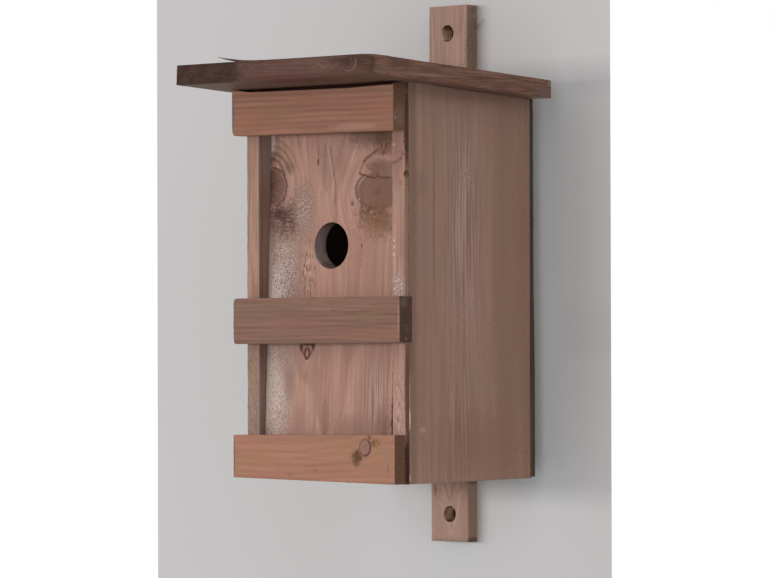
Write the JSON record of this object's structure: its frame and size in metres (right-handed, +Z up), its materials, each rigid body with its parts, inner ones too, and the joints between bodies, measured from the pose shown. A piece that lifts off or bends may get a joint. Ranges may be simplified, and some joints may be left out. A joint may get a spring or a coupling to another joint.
{
  "type": "hanging wooden nest box for small birds",
  "caption": "Wooden nest box with a round entrance, battens across its front, a flat overhanging roof and an upright lath with a hanging hole at each end",
  "frame": {"origin": "on the lath's back face, at the middle of its width and length", "axes": "+Y points back into the wall, the entrance faces -Y, +Z is up, +X is to the right when facing the entrance"},
  "size_m": [0.1856, 0.201, 0.388],
  "materials": {
    "side_boards": "planed pine under a thin matt brown stain",
    "face_strips": "pale pinkish stained pine, worn bare in places",
    "front_board": "knotty pine under a thin pinkish brown glaze",
    "battens": "pine under an orange brown glaze, darker on the sawn ends",
    "dark_boards": "weathered pine under a dark brown stain",
    "lath": "planed pine under a thin pinkish brown glaze",
    "fixings": "dull steel under the stain"
  },
  "bodies": {
    "root": {"left_side": "side_boards", "right_side": "side_boards", "left_face_strip": "face_strips", "right_face_strip": "face_strips", "front_board": "front_board", "top_batten": "battens", "middle_batten": "battens", "bottom_batten": "battens", "floor_board": "side_boards", "back_panel": "dark_boards", "roof_board": "dark_boards", "hanging_lath": "lath", "roof_nails_left": "fixings", "roof_nails_right": "fixings", "floor_brads_left": "fixings", "floor_brads_right": "fixings", "front_brads_left": "fixings", "front_brads_right": "fixings", "back_pins_left": "fixings", "back_pins_right": "fixings", "back_pins_floor": "fixings", "lath_screws_top": "fixings", "lath_screws_bottom": "fixings"}
  },
  "joints": []
}
